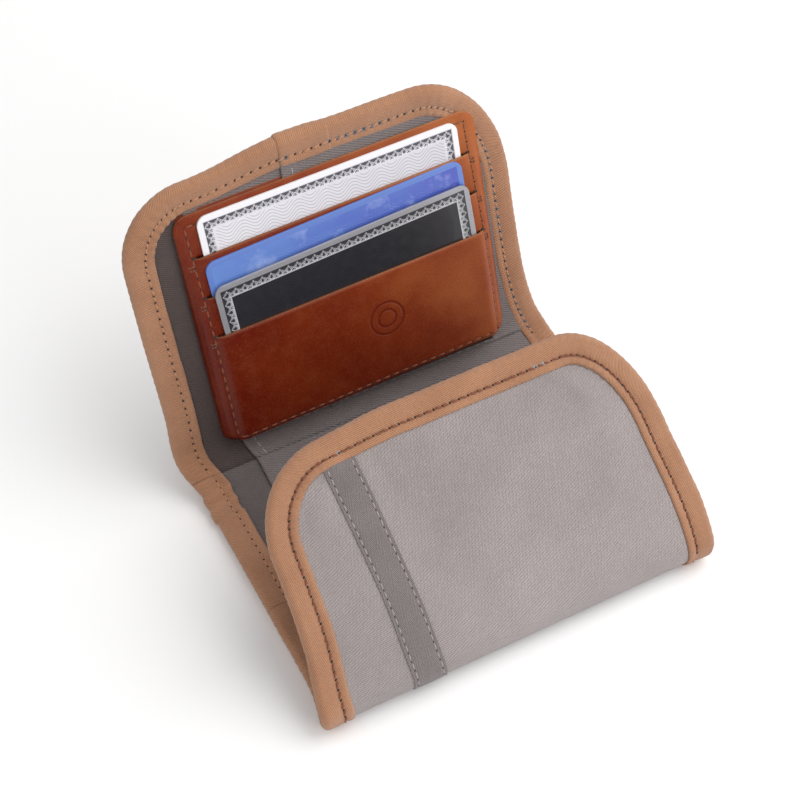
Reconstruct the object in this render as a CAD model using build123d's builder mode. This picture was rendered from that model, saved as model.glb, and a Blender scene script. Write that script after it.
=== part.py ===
"""Travel document organiser: a three-leaf bound canvas folder with a leather card holder.

Frame: millimetres, +Z up, +X along the folds, +Y towards the leaf that stands up.
The origin is the centre of the middle leaf's underside, on the surface it rests on.
Every leaf has the same layers. Their heights are counted from the leaf's outer face
inwards, and a fold turns about the inner face, so closed leaves never run together.
"""

import os
from math import cos, radians, sin

from build123d import *

# ---- leaves and folds ----
width = 126.0  # along the folds, over both edge bindings
lower_fold_y = -43.8  # end of the flat middle leaf, front flap side
upper_fold_y = 38.8  # end of the flat middle leaf, standing leaf side
upper_spine_len = 14.4  # strip that bends behind the card holder when closed
lower_spine_len = 3.5  # strip that bends at the front flap
top_len = 94.2
flap_len = 77.6
upper_spine_lean = 30.0  # degrees above the floor, at rest
top_lean = 72.0
lower_spine_lean = 21.0
flap_lean = 138.0
top_corner = 20.0
flap_corner = 18.0
fold_gap = 0.3  # each leaf stops this far short of its fold line

# ---- layer heights from the outer face ----
leaf_thick = 4.4  # over the edge binding
cloth_edge_low = 1.2  # underside of the cloth where the binding holds it
canvas_top = 1.8
lining_top = 2.4
rear_pocket_top = 2.8
front_pocket_top = 3.2

# ---- edge binding and tape ----
binding_width = 9.3
binding_wall = 1.6  # from the outer edge to the cloth held inside
binding_round = 1.8
tab_length = 12.0
tab_thick = 0.4
tab_x = -14.0  # left edge of the overlapped end
tape_width = 10.0
tape_thick = 0.5
tape_x = -34.0

# ---- pockets ----
rear_mouth_x = -45.0
front_mouth_x = -16.0
middle_mouth_x = -42.0

# ---- card holder, measured from its lower edge ----
holder_width = 99.0
holder_height = 80.4
holder_x = -1.0
holder_foot = 1.3  # lower edge above the standing leaf's fold line
holder_corner = 5.0
leather = 0.8
slit_heights = (66.3, 53.3, 40.4)
channel_half = 44.4
rail_slope = 2.0
slit_end_radius = 0.9

# ---- cards and their liners ----
card_width = 85.6
card_height = 53.98
card_corner = 3.18
card_thick = 0.76
card_clear = 0.1
card_tops = (78.5, 65.4, 57.6)
card_shift = (0.3, -0.1, 0.5)
card_turn = (-0.3, 1.3, 1.5)  # degrees, as the cards sit in use
liner_thick = 0.3

os.makedirs("parts", exist_ok=True)


def leaf_plane(fold_y, fold_z, lean, side):
    """Plane on a leaf's outer face: local Y runs away from its fold, local Z inwards."""
    inward = Vector(0, -side * sin(radians(lean)), cos(radians(lean)))
    origin = Vector(0, fold_y, fold_z) - inward * leaf_thick
    return Plane(origin=origin, x_dir=(side, 0, 0), z_dir=inward)


def fold_end(fold_y, fold_z, lean, side, length):
    """Fold line at the far end of a spine strip."""
    return (fold_y + side * length * cos(radians(lean)), fold_z + length * sin(radians(lean)))


def write(part, name):
    part.label = name
    export_step(part, f"parts/{name}.step")


def leaf_face(half, start, end, corner):
    """Closed outline of a leaf in the current sketch, rounded at its free corners."""
    with Locations((0, (start + end) / 2)):
        Rectangle(2 * half, end - start)
    if corner:
        free_corners = [v for v in vertices() if v.Y > end - 0.01]
        fillet(free_corners, corner)


def canvas(plane, name, start, end, corner):
    """Outer canvas: full depth between the bindings, a thinner edge held inside them."""
    inner_half = width / 2 - binding_width
    inner_end = end - binding_width if corner else end
    inner_corner = corner - binding_width if corner else 0
    held_half = width / 2 - binding_wall
    held_end = end - binding_wall if corner else end
    held_corner = corner - binding_wall if corner else 0
    side = plane.x_dir.X
    with BuildPart() as sheet:
        with BuildSketch(plane):
            leaf_face(inner_half, start, inner_end, inner_corner)
        extrude(amount=canvas_top)
        with BuildSketch(plane.offset(cloth_edge_low)):
            leaf_face(held_half, start, held_end, held_corner)
        extrude(amount=canvas_top - cloth_edge_low)
        with BuildSketch(plane):
            with Locations((side * tape_x, (start + inner_end) / 2)):
                Rectangle(tape_width, inner_end - start)
        extrude(amount=tape_thick, mode=Mode.SUBTRACT)
    write(sheet.part, name)


def tape(plane, name, start, end):
    side = plane.x_dir.X
    with BuildPart() as strip:
        with BuildSketch(plane):
            with Locations((side * tape_x, (start + end) / 2)):
                Rectangle(tape_width, end - start)
        extrude(amount=tape_thick)
    write(strip.part, name)


def lining(plane, name, start, end, corner):
    held_end = end - binding_wall if corner else end
    held_corner = corner - binding_wall if corner else 0
    with BuildPart() as sheet:
        with BuildSketch(plane.offset(canvas_top)):
            leaf_face(width / 2 - binding_wall, start, held_end, held_corner)
        extrude(amount=lining_top - canvas_top)
    write(sheet.part, name)


def side_binding(plane, name, start, end, hand):
    """Straight length of folded tape that grips one side edge of a leaf."""
    middle = (start + end) / 2
    side = plane.x_dir.X
    edge_x = hand * side * width / 2
    band_x = edge_x - hand * side * binding_width / 2
    slot_x = edge_x - hand * side * (binding_wall + binding_width) / 2
    with BuildPart() as band:
        with BuildSketch(plane):
            with Locations((band_x, middle)):
                Rectangle(binding_width, end - start)
        extrude(amount=leaf_thick)
        local = plane.to_local_coords
        outer = [e for e in edges().filter_by(GeomType.LINE) if abs(local(e @ 0.5).X - edge_x) < 0.01]
        lengthwise = [e for e in outer if abs(local(e @ 0.5).Y - middle) < 0.01]
        fillet(lengthwise, binding_round)
        with BuildSketch(plane.offset(cloth_edge_low)):
            with Locations((slot_x, middle)):
                Rectangle(binding_width - binding_wall, end - start)
        extrude(amount=lining_top - cloth_edge_low, mode=Mode.SUBTRACT)
    write(band.part, name)


def end_binding(plane, name, start, end, corner):
    """Folded tape round the two sides and the free end of an outer leaf, in one length."""
    with BuildPart() as band:
        with BuildSketch(plane):
            leaf_face(width / 2, start, end, corner)
        extrude(amount=leaf_thick)
        local = plane.to_local_coords
        rims = [
            e
            for e in edges()
            if min(abs(local(e @ 0.5).Z), abs(local(e @ 0.5).Z - leaf_thick)) < 0.01
            and local(e @ 0.5).Y > start + 0.01
        ]
        fillet(rims, binding_round)
        with BuildSketch(plane):
            leaf_face(width / 2 - binding_width, start, end - binding_width, corner - binding_width)
        extrude(amount=leaf_thick, mode=Mode.SUBTRACT)
        with BuildSketch(plane.offset(cloth_edge_low)):
            leaf_face(width / 2 - binding_wall, start, end - binding_wall, corner - binding_wall)
        extrude(amount=lining_top - cloth_edge_low, mode=Mode.SUBTRACT)
    write(band.part, name)


def pocket(plane, name, mouth_x, low, high, bottom, top, corner=0):
    """Flat patch pocket, open at its left edge and caught in the right-hand binding."""
    right = width / 2 - binding_width
    with BuildPart() as patch:
        with BuildSketch(plane.offset(bottom)):
            with Locations(((mouth_x + right) / 2, (low + high) / 2)):
                Rectangle(right - mouth_x, high - low)
            if corner:
                fillet(vertices().group_by(Axis.Y)[-1].sort_by(Axis.X)[-1], corner)
        extrude(amount=top - bottom)
    write(patch.part, name)


# ---- where the folds are ----
upper_far = fold_end(upper_fold_y, leaf_thick, upper_spine_lean, 1, upper_spine_len)
lower_far = fold_end(lower_fold_y, leaf_thick, lower_spine_lean, -1, lower_spine_len)
middle_plane = Plane.XY
upper_spine_plane = leaf_plane(upper_fold_y, leaf_thick, upper_spine_lean, 1)
top_plane = leaf_plane(*upper_far, top_lean, 1)
lower_spine_plane = leaf_plane(lower_fold_y, leaf_thick, lower_spine_lean, -1)
flap_plane = leaf_plane(*lower_far, flap_lean, -1)

# ---- leaves: cloth, tape and binding ----
straight_leaves = (
    ("middle", middle_plane, lower_fold_y + fold_gap, upper_fold_y - fold_gap),
    ("upper_spine", upper_spine_plane, fold_gap, upper_spine_len - fold_gap),
    ("lower_spine", lower_spine_plane, fold_gap, lower_spine_len - fold_gap),
)
for leaf_name, plane, start, end in straight_leaves:
    canvas(plane, f"{leaf_name}_outer_canvas", start, end, 0)
    lining(plane, f"{leaf_name}_lining", start, end, 0)
    tape(plane, f"{leaf_name}_tape", start, end)
    side_binding(plane, f"{leaf_name}_binding_left", start, end, -1)
    side_binding(plane, f"{leaf_name}_binding_right", start, end, 1)

end_leaves = (
    ("top", top_plane, top_len, top_corner),
    ("flap", flap_plane, flap_len, flap_corner),
)
for leaf_name, plane, length, corner in end_leaves:
    canvas(plane, f"{leaf_name}_outer_canvas", fold_gap, length, corner)
    lining(plane, f"{leaf_name}_lining", fold_gap, length, corner)
    tape(plane, f"{leaf_name}_tape", fold_gap, length - binding_width)
    end_binding(plane, f"{leaf_name}_binding", fold_gap, length, corner)

# ---- overlapped end of the binding, on the standing leaf's free edge ----
with BuildPart() as overlap:
    with BuildSketch(top_plane.offset(leaf_thick)):
        with Locations((tab_x + tab_length / 2, top_len - binding_width / 2 - binding_round / 2)):
            Rectangle(tab_length, binding_width - binding_round)
    extrude(amount=tab_thick)
write(overlap.part, "binding_overlap")

# ---- pockets ----
top_pockets = (
    ("rear_pocket", rear_mouth_x, lining_top, rear_pocket_top),
    ("front_pocket", front_mouth_x, rear_pocket_top, front_pocket_top),
)
for name, mouth_x, bottom, top in top_pockets:
    high = top_len - binding_width
    pocket(top_plane, name, mouth_x, fold_gap, high, bottom, top, top_corner - binding_width)
low, high = lower_fold_y + fold_gap, upper_fold_y - fold_gap
pocket(middle_plane, "middle_pocket", middle_mouth_x, low, high, lining_top, rear_pocket_top)

# ---- card holder ----
holder_plane = Plane(
    origin=top_plane.from_local_coords((holder_x, holder_foot, front_pocket_top)),
    x_dir=top_plane.x_dir,
    z_dir=top_plane.z_dir,
)

with BuildPart() as holder_back:
    with BuildSketch(holder_plane):
        with Locations((0, holder_height / 2)):
            RectangleRounded(holder_width, holder_height, holder_corner)
    extrude(amount=leather)
write(holder_back.part, "holder_back")

step = card_thick + 2 * card_clear + leather  # rise from one leather strip to the next
strip_levels = [leather + (i + 1) * step for i in range(len(slit_heights))]
strip_ends = list(slit_heights[1:]) + [leather + 2 * liner_thick]

with BuildPart() as holder_front:
    with BuildSketch(holder_plane.offset(leather)):
        with Locations((0, holder_height / 2)):
            RectangleRounded(holder_width, holder_height, holder_corner)
        window_low, window_high = strip_ends[-1], slit_heights[0]
        with Locations((0, (window_low + window_high) / 2)):
            Rectangle(2 * channel_half, window_high - window_low, mode=Mode.SUBTRACT)
    extrude(amount=leather)
    for level, high, low in zip(strip_levels, slit_heights, strip_ends):
        strip_foot = low if low > window_low else 0.5
        rail_plane = Plane(
            origin=holder_plane.from_local_coords((0, high, 0)),
            x_dir=holder_plane.x_dir,
            z_dir=-holder_plane.y_dir,
        )
        with BuildSketch(rail_plane):
            with BuildLine():
                Polyline(
                    (-channel_half - leather - rail_slope, 2 * leather),
                    (-channel_half - leather / 2, level + leather),
                    (channel_half + leather / 2, level + leather),
                    (channel_half + leather + rail_slope, 2 * leather),
                    close=True,
                )
            make_face()
        extrude(amount=high - strip_foot)
        with BuildSketch(holder_plane.offset(leather)):
            with Locations((0, (high + low) / 2)):
                Rectangle(2 * channel_half, high - low)
        extrude(amount=level - leather, mode=Mode.SUBTRACT)
    with BuildSketch(holder_plane.offset(leather)):
        ends = [(hand * channel_half, high) for high in slit_heights for hand in (-1, 1)]
        with Locations(*ends):
            Circle(slit_end_radius)
    extrude(amount=strip_levels[-1] + leather, mode=Mode.SUBTRACT)
write(holder_front.part, "holder_front")

# ---- cards, each in front of one strip and behind the next ----
card_names = ("upper_card", "middle_card", "lower_card")
for name, level, top, shift, turn in zip(card_names, strip_levels, card_tops, card_shift, card_turn):
    lengthwise = holder_plane.x_dir * cos(radians(turn)) + holder_plane.y_dir * sin(radians(turn))
    card_plane = Plane(
        origin=holder_plane.from_local_coords((shift, top - card_height / 2, level - card_thick - card_clear)),
        x_dir=lengthwise,
        z_dir=holder_plane.z_dir,
    )
    with BuildPart() as card:
        with BuildSketch(card_plane):
            RectangleRounded(card_width, card_height, card_corner)
        extrude(amount=card_thick)
    write(card.part, name)

# ---- fabric liners that stop the cards, stitched in behind each strip ----
liner_names = ("upper_slot_liner", "middle_slot_liner", "lower_slot_liner")
liner_backs = (leather, strip_levels[0] + leather / 2, strip_levels[1] + leather / 2)
liner_feet = (card_tops[0] - card_height - 1.4, card_tops[1] - card_height - 1.8, strip_ends[-1] + 0.1)
for name, back, level, foot, high in zip(liner_names, liner_backs, strip_levels, liner_feet, slit_heights):
    with BuildPart() as liner:
        with BuildSketch(holder_plane.offset(back)):
            with Locations((0, (foot + high - 1) / 2)):
                Rectangle(2 * channel_half - 1, high - 1 - foot)
        extrude(amount=liner_thick)
        with BuildSketch(holder_plane.offset(back)):
            with Locations((0, foot + liner_thick / 2)):
                Rectangle(2 * channel_half - 1, liner_thick)
        extrude(amount=level - back - card_clear)
    write(liner.part, name)
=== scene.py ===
import math

import bmesh
import bpy
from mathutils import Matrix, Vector, noise


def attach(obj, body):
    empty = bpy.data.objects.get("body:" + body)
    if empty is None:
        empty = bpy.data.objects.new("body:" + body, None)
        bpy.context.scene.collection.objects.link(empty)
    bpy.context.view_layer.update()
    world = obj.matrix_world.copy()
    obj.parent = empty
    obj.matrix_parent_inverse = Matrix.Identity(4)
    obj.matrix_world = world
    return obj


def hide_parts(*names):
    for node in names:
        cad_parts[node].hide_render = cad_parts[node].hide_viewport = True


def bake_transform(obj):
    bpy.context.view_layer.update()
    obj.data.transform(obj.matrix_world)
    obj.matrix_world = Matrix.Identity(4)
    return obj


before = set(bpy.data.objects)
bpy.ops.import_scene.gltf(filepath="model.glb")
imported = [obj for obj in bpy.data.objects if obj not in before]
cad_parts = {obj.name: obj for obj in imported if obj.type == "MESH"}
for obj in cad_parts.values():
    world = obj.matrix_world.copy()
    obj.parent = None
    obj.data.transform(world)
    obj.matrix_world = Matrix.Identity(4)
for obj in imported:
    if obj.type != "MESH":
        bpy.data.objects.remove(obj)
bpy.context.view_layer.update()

# Lengths below are in millimetres until a point is placed. x runs across the wallet, u along its length
# on the line measured 0.8 mm above the outer face, and n is the height above the outer face.
mm = 0.001
measured_line = 0.8
front_y = -43.25
back_runs = (
    (76.69, 0.0),
    (12.357, math.radians(30)),
    (2.899, 0.0),
    (14.368, math.radians(42)),
    (120.0, 0.0),
)
front_runs = ((13.488, math.radians(138)), (120.0, 0.0))
nose_seam = -6.744
middle_seam = 38.0
spine_seam = 90.497
top_zero = 100.172
flap_zero = -10.152
top_end = 194.37
flap_end = -87.75
half_width = 63.0
band = 9.3
stitch_in = 6.6
stitch_pitch = 2.8


def clamp(value):
    return max(0.0, min(1.0, value))


def ease(value):
    value = clamp(value)
    return value * value * (3 - 2 * value)


def hump(value, centre, width):
    return math.exp(-((value - centre) / width) ** 2)


def unevenness(x, y, size, seed):
    """Smooth noise from -1 to 1 whose lumps are about one size across."""
    return noise.noise(Vector((x / size + seed * 17.3, y / size - seed * 5.1, seed * 3.7)))


# ---- the folded side profile ----
def walk(distance, runs):
    """Where a walk along straight and curved runs ends, and its heading."""
    y, z, heading = 0.0, 0.0, 0.0
    for length, turn in runs:
        step = min(distance, length)
        end = heading + turn * step / length
        if turn:
            radius = length / turn
            y += radius * (math.sin(end) - math.sin(heading))
            z += radius * (math.cos(heading) - math.cos(end))
        else:
            y += step * math.cos(heading)
            z += step * math.sin(heading)
        heading = end
        distance -= step
    return y, z, heading


def profile(u):
    """Side-view place and heading of the measured line."""
    if u >= 0:
        y, z, heading = walk(u, back_runs)
        return front_y + y, measured_line + z, heading
    y, z, heading = walk(-u, front_runs)
    return front_y - y, measured_line + z, -heading


def place(x, u, n):
    y, z, heading = profile(u)
    lift = n - measured_line
    return Vector((x, y - lift * math.sin(heading), z + lift * math.cos(heading))) * mm


def settle(x, u, n):
    """A point of the cloth in its place, with the skew, sag and swell that the worn leaves have."""
    rise = u - top_zero
    drop = flap_zero - u
    if rise > -25:
        start = ease((rise + 25) / 15)
        skew = 1.2 * start - 5.6 * (1 - math.exp(-max(0.0, rise + 10) / 18))
        u -= 3.6 * ease((-x - 8) / 32) * clamp(rise / 94) ** 3
        flare = 3.4 if x < 0 else 1.8
        x += skew + flare * (x / half_width) * hump(rise, -5, 15)
    if drop > -30:
        flare = 3.2 * hump(drop, 0, 17) if x < 0 else 3.6 * hump(drop, 12, 24)
        x += flare * (x / half_width) * ease((drop + 30) / 24)
    if drop > 0:
        u += 1.8 * ease((-x - 15) / 28) * clamp(drop / 77) ** 3
    return place(x, u, n)


# ---- outlines of the two end leaves: corner width and height on the left and on the right ----
leaves = {
    "top": (spine_seam, top_end, (23.5, 25.0), (28.5, 37.0)),
    "flap": (nose_seam, flap_end, (25.0, 28.5), (25.0, 36.0)),
}


def edge_x(leaf, u, side, inset):
    """How far out the cloth reaches at u, drawn in by inset."""
    start, end, left, right = leaves[leaf]
    wide, tall = left if side < 0 else right
    wide, tall = wide - inset, tall - inset
    along = abs(u - start)
    corner = abs(end - start) - inset - tall
    reach = half_width - inset
    if along <= corner:
        return side * reach
    share = clamp((along - corner) / tall)
    return side * (reach - wide * (1 - math.sqrt(max(0.0, 1 - share * share))))


def outline(leaf, step):
    """Evenly spaced points round a leaf's free edge from seam to seam, each with its inward direction."""
    start, end, left, right = leaves[leaf]
    way = 1 if end > start else -1
    length = abs(end - start)
    rough = []
    for i in range(200):
        rough.append((-half_width, (length - left[1]) * i / 200))
    for i in range(200):
        turn = math.pi / 2 * i / 200
        x = -half_width + left[0] * (1 - math.cos(turn))
        rough.append((x, length - left[1] * (1 - math.sin(turn))))
    flat_left = -half_width + left[0]
    flat_right = half_width - right[0]
    for i in range(200):
        rough.append((flat_left + (flat_right - flat_left) * i / 200, length))
    for i in range(200):
        turn = math.pi / 2 * (1 - i / 200)
        x = half_width - right[0] * (1 - math.cos(turn))
        rough.append((x, length - right[1] * (1 - math.sin(turn))))
    for i in range(201):
        rough.append((half_width, (length - right[1]) * (1 - i / 200)))
    reached = [0.0]
    for a, b in zip(rough, rough[1:]):
        reached.append(reached[-1] + math.dist(a, b))
    count = round(reached[-1] / step)
    points = []
    k = 0
    for i in range(count + 1):
        target = reached[-1] * i / count
        while k < len(rough) - 2 and reached[k + 1] < target:
            k += 1
        share = (target - reached[k]) / max(1e-9, reached[k + 1] - reached[k])
        x = rough[k][0] + (rough[k + 1][0] - rough[k][0]) * share
        along = rough[k][1] + (rough[k + 1][1] - rough[k][1]) * share
        points.append((x, start + way * along))
    ways = []
    for i in range(len(points)):
        before = points[max(0, i - 3)]
        after = points[min(len(points) - 1, i + 3)]
        heading = Vector((after[0] - before[0], after[1] - before[1])).normalized()
        ways.append((heading.y * way, -heading.x * way))
    return points, ways, reached[-1]


# ---- materials ----
def link(tree, source, target):
    tree.links.new(source, target)


def add(tree, kind, **settings):
    made = tree.nodes.new(kind)
    for name, value in settings.items():
        setattr(made, name, value)
    return made


def maths(tree, operation, first, second=None):
    made = add(tree, "ShaderNodeMath", operation=operation)
    for slot, value in zip(made.inputs, (first, second)):
        if value is None:
            continue
        if isinstance(value, (int, float)):
            slot.default_value = value
        else:
            link(tree, value, slot)
    return made.outputs[0]


def spread_value(tree, value, low, high, to_low=0.0, to_high=1.0):
    made = add(tree, "ShaderNodeMapRange")
    link(tree, value, made.inputs[0])
    made.inputs[1].default_value = low
    made.inputs[2].default_value = high
    made.inputs[3].default_value = to_low
    made.inputs[4].default_value = to_high
    return made.outputs[0]


def lumps(tree, vector, scale, detail=2.0, rough=0.5):
    made = add(tree, "ShaderNodeTexNoise")
    link(tree, vector, made.inputs["Vector"])
    made.inputs["Scale"].default_value = scale
    made.inputs["Detail"].default_value = detail
    made.inputs["Roughness"].default_value = rough
    return made.outputs[0]


def blend_colours(tree, share, first, second, kind="MIX"):
    made = add(tree, "ShaderNodeMix", data_type="RGBA", blend_type=kind)
    for slot, value in zip((made.inputs[0], made.inputs[6], made.inputs[7]), (share, first, second)):
        if isinstance(value, (int, float)):
            slot.default_value = value
        elif isinstance(value, tuple):
            slot.default_value = (*value, 1.0)
        else:
            link(tree, value, slot)
    return made.outputs[2]


def new_group(name, inputs, outputs):
    group = bpy.data.node_groups.new(name, "ShaderNodeTree")
    for label, kind, value in inputs:
        socket = group.interface.new_socket(name=label, in_out="INPUT", socket_type=kind)
        if value is not None:
            socket.default_value = value
    for label, kind in outputs:
        group.interface.new_socket(name=label, in_out="OUTPUT", socket_type=kind)
    return group, add(group, "NodeGroupInput"), add(group, "NodeGroupOutput")


def scaled(tree, vector, factor):
    made = add(tree, "ShaderNodeVectorMath", operation="SCALE")
    link(tree, vector, made.inputs[0])
    link(tree, factor, made.inputs["Scale"])
    return made.outputs[0]


def split(tree, vector):
    made = add(tree, "ShaderNodeSeparateXYZ")
    link(tree, vector, made.inputs[0])
    return made.outputs


def weave_group():
    """Plain weave: one yarn over, one under, each a little uneven."""
    number, vector = "NodeSocketFloat", "NodeSocketVector"
    group, given, result = new_group(
        "plain_weave",
        [("Vector", vector, None), ("Pitch", number, 0.0006), ("Slub", number, 0.3)],
        [("Height", number), ("Tone", number)],
    )
    turns = scaled(group, given.outputs[0], maths(group, "DIVIDE", 2 * math.pi, given.outputs[1]))
    wobble = lumps(group, given.outputs[0], 900.0, 2.0)
    x, y, _ = split(group, turns)
    shift = maths(group, "MULTIPLY", maths(group, "SUBTRACT", wobble, 0.5), 5.0)
    warp = maths(group, "SINE", maths(group, "ADD", x, shift))
    weft = maths(group, "SINE", maths(group, "ADD", y, shift))
    crossing = maths(group, "MULTIPLY", warp, weft)
    height = maths(group, "ADD", maths(group, "MULTIPLY", crossing, 0.5), 0.5)
    slubs = lumps(group, given.outputs[0], 420.0, 4.0, 0.6)
    slub = maths(group, "MULTIPLY", maths(group, "SUBTRACT", slubs, 0.5), given.outputs[2])
    link(group, maths(group, "ADD", height, slub), result.inputs[0])
    link(group, maths(group, "ADD", maths(group, "MULTIPLY", height, 0.5), slub), result.inputs[1])
    return group


def rib_group():
    """Diagonal ribs of a twill; Chevron turns them back and forth across the tape."""
    number, vector = "NodeSocketFloat", "NodeSocketVector"
    group, given, result = new_group(
        "twill_ribs",
        [
            ("Vector", vector, None),
            ("Pitch", number, 0.001),
            ("Slope", number, 1.0),
            ("Chevron", number, 0.0),
            ("Width", number, 0.005),
        ],
        [("Height", number), ("Tone", number)],
    )
    x, y, _ = split(group, given.outputs[0])
    uneven = maths(group, "SUBTRACT", lumps(group, given.outputs[0], 500.0), 0.5)
    wobble = maths(group, "MULTIPLY", uneven, 2.4)
    zigzag = maths(group, "PINGPONG", x, given.outputs[4])
    straight = maths(group, "MULTIPLY", x, maths(group, "SUBTRACT", 1.0, given.outputs[3]))
    across = maths(group, "ADD", straight, maths(group, "MULTIPLY", zigzag, given.outputs[3]))
    diagonal = maths(group, "ADD", maths(group, "MULTIPLY", across, given.outputs[2]), y)
    turns = maths(group, "MULTIPLY", maths(group, "DIVIDE", diagonal, given.outputs[1]), 2 * math.pi)
    rib = maths(group, "SINE", maths(group, "ADD", turns, wobble))
    height = maths(group, "ADD", maths(group, "MULTIPLY", rib, 0.5), 0.5)
    fibre = lumps(group, given.outputs[0], 1500.0, 3.0, 0.6)
    link(group, maths(group, "ADD", height, maths(group, "MULTIPLY", fibre, 0.5)), result.inputs[0])
    link(group, maths(group, "ADD", maths(group, "MULTIPLY", height, 0.6), fibre), result.inputs[1])
    return group


def patina_group():
    """Slow changes of tone over a hand's width, and rubbed marks inside them."""
    number, vector = "NodeSocketFloat", "NodeSocketVector"
    group, given, result = new_group(
        "patina",
        [("Vector", vector, None), ("Scale", number, 25.0)],
        [("Cloud", number), ("Rub", number)],
    )
    vec = scaled(group, given.outputs[0], given.outputs[1])
    cloud = lumps(group, vec, 1.0, 3.0, 0.55)
    rub = lumps(group, vec, 7.0, 6.0, 0.7)
    link(group, spread_value(group, cloud, 0.3, 0.7), result.inputs[0])
    link(group, spread_value(group, rub, 0.45, 0.75), result.inputs[1])
    return group


def card_group():
    """Masks for a plain card face: rim, interlaced border, and a fine wave pattern inside."""
    number, vector = "NodeSocketFloat", "NodeSocketVector"
    group, given, result = new_group(
        "card_print",
        [("Vector", vector, None), ("Inset", number, 0.0019)],
        [("Rim", number), ("Scrolls", number), ("Waves", number), ("Band", number)],
    )
    x, y, _ = split(group, given.outputs[0])
    from_side = maths(group, "SUBTRACT", 0.0428, maths(group, "ABSOLUTE", x))
    from_end = maths(group, "SUBTRACT", 0.02699, maths(group, "ABSOLUTE", y))
    edge = maths(group, "MINIMUM", from_side, from_end)
    link(group, spread_value(group, edge, 0.0018, 0.0016), result.inputs[0])
    depth = maths(group, "SUBTRACT", edge, given.outputs[1])
    band_start = spread_value(group, depth, 0.0, 0.00015)
    band_end = spread_value(group, depth, 0.0029, 0.00275)
    band_mask = maths(group, "MULTIPLY", band_start, band_end)
    lines = []
    for direction in ("ADD", "SUBTRACT"):
        along = maths(group, "MULTIPLY", maths(group, direction, x, y), math.pi / 0.0029)
        arch = maths(group, "MULTIPLY", maths(group, "ABSOLUTE", maths(group, "SINE", along)), 0.0021)
        for lift in (0.0003, 0.0010):
            above_arch = maths(group, "SUBTRACT", depth, arch)
            gap = maths(group, "ABSOLUTE", maths(group, "SUBTRACT", above_arch, lift))
            lines.append(spread_value(group, gap, 0.00022, 0.00010))
    rising = maths(group, "MAXIMUM", lines[0], lines[1])
    falling = maths(group, "MAXIMUM", lines[2], lines[3])
    scroll = maths(group, "MAXIMUM", rising, falling)
    from_frame = maths(group, "ABSOLUTE", maths(group, "SUBTRACT", depth, 0.0027))
    frame_line = spread_value(group, from_frame, 0.0003, 0.00015)
    drawn = maths(group, "MAXIMUM", scroll, frame_line)
    link(group, maths(group, "MULTIPLY", drawn, band_mask), result.inputs[1])
    link(group, band_mask, result.inputs[3])
    swing = maths(group, "SINE", maths(group, "MULTIPLY", x, 2 * math.pi / 0.009))
    bent = maths(group, "ADD", y, maths(group, "MULTIPLY", swing, 0.0012))
    wave = maths(group, "SINE", maths(group, "MULTIPLY", bent, 2 * math.pi / 0.0011))
    inside = spread_value(group, edge, 0.0050, 0.0053)
    link(group, maths(group, "MULTIPLY", spread_value(group, wave, 0.2, 0.9), inside), result.inputs[2])
    return group


weave = weave_group()
ribs = rib_group()
patina = patina_group()
card_print = card_group()


def place_group(tree, group, vector, **values):
    made = add(tree, "ShaderNodeGroup", node_tree=group)
    link(tree, vector, made.inputs[0])
    for name, value in values.items():
        made.inputs[name].default_value = value
    return made.outputs


def new_material(name, roughness, sheen=0.0, coat=0.0, specular=0.5):
    material = bpy.data.materials.new(name)
    material.use_nodes = True
    tree = material.node_tree
    shader = tree.nodes["Principled BSDF"]
    shader.inputs["Roughness"].default_value = roughness
    shader.inputs["Sheen Weight"].default_value = sheen
    shader.inputs["Coat Weight"].default_value = coat
    shader.inputs["Specular IOR Level"].default_value = specular
    return material, tree, shader


def flat_map(tree):
    return add(tree, "ShaderNodeUVMap", uv_map="flat").outputs[0]


def raise_surface(tree, shader, height, distance, strength):
    bump = add(tree, "ShaderNodeBump")
    bump.inputs["Strength"].default_value = strength
    bump.inputs["Distance"].default_value = distance
    link(tree, height, bump.inputs["Height"])
    link(tree, bump.outputs[0], shader.inputs["Normal"])


def canvas_material(name, light, dark, pitch, roughness, sheen):
    material, tree, shader = new_material(name, roughness, sheen, specular=0.5)
    vector = flat_map(tree)
    cloth = place_group(tree, weave, vector, Pitch=pitch, Slub=0.5)
    diagonal = place_group(tree, ribs, vector, Pitch=pitch * 1.25, Slope=0.45, Chevron=0.0)
    worn = place_group(tree, patina, vector, Scale=22.0)
    cloudy = blend_colours(tree, spread_value(tree, worn[0], 0.0, 1.0, 0.42, 1.0), dark, light)
    rubbed = blend_colours(tree, maths(tree, "MULTIPLY", worn[1], 0.25), cloudy, light)
    ribbed = blend_colours(tree, spread_value(tree, diagonal[1], 0.35, 0.95, 0.62, 0.0), rubbed, dark)
    woven = blend_colours(tree, spread_value(tree, cloth[1], 0.0, 0.7, 0.4, 0.0), ribbed, dark)
    link(tree, woven, shader.inputs["Base Color"])
    rubbed_smooth = spread_value(tree, worn[1], 0.0, 1.0, roughness + 0.05, roughness - 0.1)
    link(tree, rubbed_smooth, shader.inputs["Roughness"])
    relief = maths(tree, "ADD", cloth[0], diagonal[0])
    raise_surface(tree, shader, relief, 0.00016, 0.85)
    return material


def twill_material(name, light, dark, pitch, chevron):
    material, tree, shader = new_material(name, 0.8, 0.25, specular=0.25)
    vector = flat_map(tree)
    slope = 2.2 if chevron else 0.9
    cloth = place_group(tree, ribs, vector, Pitch=pitch, Slope=slope, Chevron=float(chevron), Width=0.0017)
    worn = place_group(tree, patina, vector, Scale=60.0)
    base = blend_colours(tree, spread_value(tree, cloth[1], 0.3, 1.0, 0.25, 1.0), dark, light)
    clouded = blend_colours(tree, maths(tree, "MULTIPLY", worn[0], 0.38), base, dark)
    link(tree, clouded, shader.inputs["Base Color"])
    link(tree, spread_value(tree, worn[1], 0.0, 1.0, 0.85, 0.7), shader.inputs["Roughness"])
    raise_surface(tree, shader, cloth[0], 0.00022, 0.8)
    return material


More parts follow.
